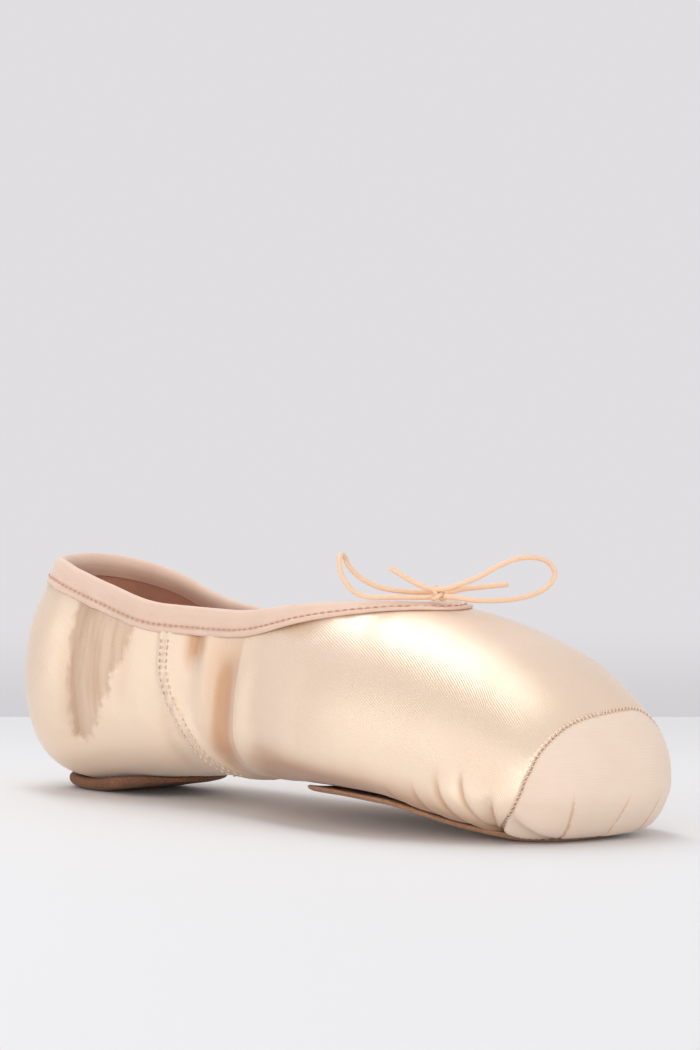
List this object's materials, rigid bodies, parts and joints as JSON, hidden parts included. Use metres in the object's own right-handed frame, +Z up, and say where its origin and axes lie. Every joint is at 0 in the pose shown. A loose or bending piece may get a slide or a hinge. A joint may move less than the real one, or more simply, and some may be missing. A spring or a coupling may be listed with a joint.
{
  "type": "pointe shoe",
  "caption": "Satin ballet shoe for dancing on the toe tips: hollow upper, stitched platform patch, folded collar tape with a tied drawstring, leather forefoot sole and suede heel pad.",
  "frame": {"origin": "on the floor under the middle of the shoe's length and width", "axes": "+X from heel to toe, +Z up, the side seen first faces -Y"},
  "size_m": [0.238, 0.0808, 0.0721],
  "materials": {
    "satin": "peach satin with a fine twill and a broad soft sheen",
    "patch_satin": "duller peach satin over a stiff platform",
    "tape": "soft folded peach cotton tape with stitched edges",
    "lining_board": "peach-brown cotton lining over board",
    "sole_leather": "tan split leather, matt",
    "pad_suede": "brown suede nap, matt",
    "elastic": "braided round elastic"
  },
  "bodies": {
    "root": {"upper": "satin", "toe_cap": "patch_satin", "binding": "tape", "insole": "lining_board", "sole_forefoot": "sole_leather", "sole_heel": "pad_suede", "cord_knot": "elastic", "cord_loop_near": "elastic", "cord_loop_far": "elastic", "cord_end_near": "elastic", "cord_end_far": "elastic"}
  },
  "joints": []
}
